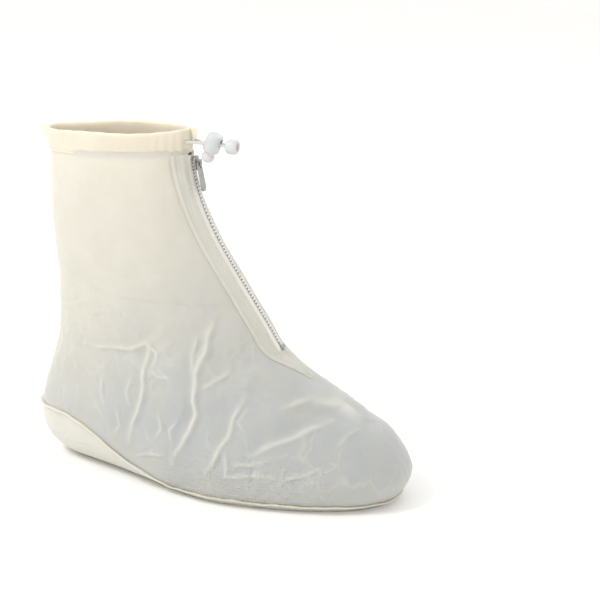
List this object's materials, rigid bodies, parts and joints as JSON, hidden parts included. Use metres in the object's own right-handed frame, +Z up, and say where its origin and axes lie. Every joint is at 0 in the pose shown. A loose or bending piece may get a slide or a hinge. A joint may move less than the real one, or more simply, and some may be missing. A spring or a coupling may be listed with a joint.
{
  "type": "reusable shoe cover",
  "caption": "Soft waterproof shoe cover with a welded sole, a zip over a gusset at the front, and a drawstring hem closed by a sprung cord lock.",
  "frame": {"origin": "on the flat underside of the sole, midway between heel and toe", "axes": "+X to the toe, +Y to the wearer's left, which is the inner side of this right-foot cover, +Z up out of the shaft"},
  "size_m": [0.3096, 0.1201, 0.2769],
  "materials": {
    "pvc_film": "milky translucent soft PVC film, satin, fine grain",
    "pvc_sole": "thicker milky PVC sheet with a fine embossed grain",
    "welded_edge": "two layers of film welded flat, a little yellower and glossier",
    "zip_tape": "woven off-white tape",
    "zip_coil": "off-white nylon coil",
    "zip_metal": "grey coated metal",
    "cord": "braided off-white cord",
    "lock_plastic": "moulded white plastic"
  },
  "bodies": {
    "cover": {"upper": "pvc_film", "sole": "pvc_sole", "sole_welt": "welded_edge", "casing": "pvc_film", "gusset": "pvc_film", "zip_placket": "welded_edge", "zip_tape_left": "zip_tape", "zip_tape_right": "zip_tape", "zip_coil_left": "zip_coil", "zip_coil_right": "zip_coil", "cord_tail_left": "cord", "cord_tail_right": "cord", "zip_slider": "zip_metal", "zip_bottom_stop": "zip_metal", "drawstring": "cord", "cord_lock_body": "lock_plastic", "cord_end": "lock_plastic"},
    "pull": {"zip_pull": "zip_metal"},
    "plunger": {"cord_lock_plunger": "lock_plastic"}
  },
  "joints": [
    {"name": "zip_pull_swing", "type": "hinge", "parent": "cover", "child": "pull", "pos_m": [-0.02315, 0, 0.25141], "axis": [0, -1, 0], "range_deg": [0, 60]},
    {"name": "lock_press", "type": "slide", "parent": "cover", "child": "plunger", "axis": [0.342, 0, 0.9397], "range_m": [0, 0.002], "stiffness_N_per_m": 800, "springref_m": -0.002}
  ]
}
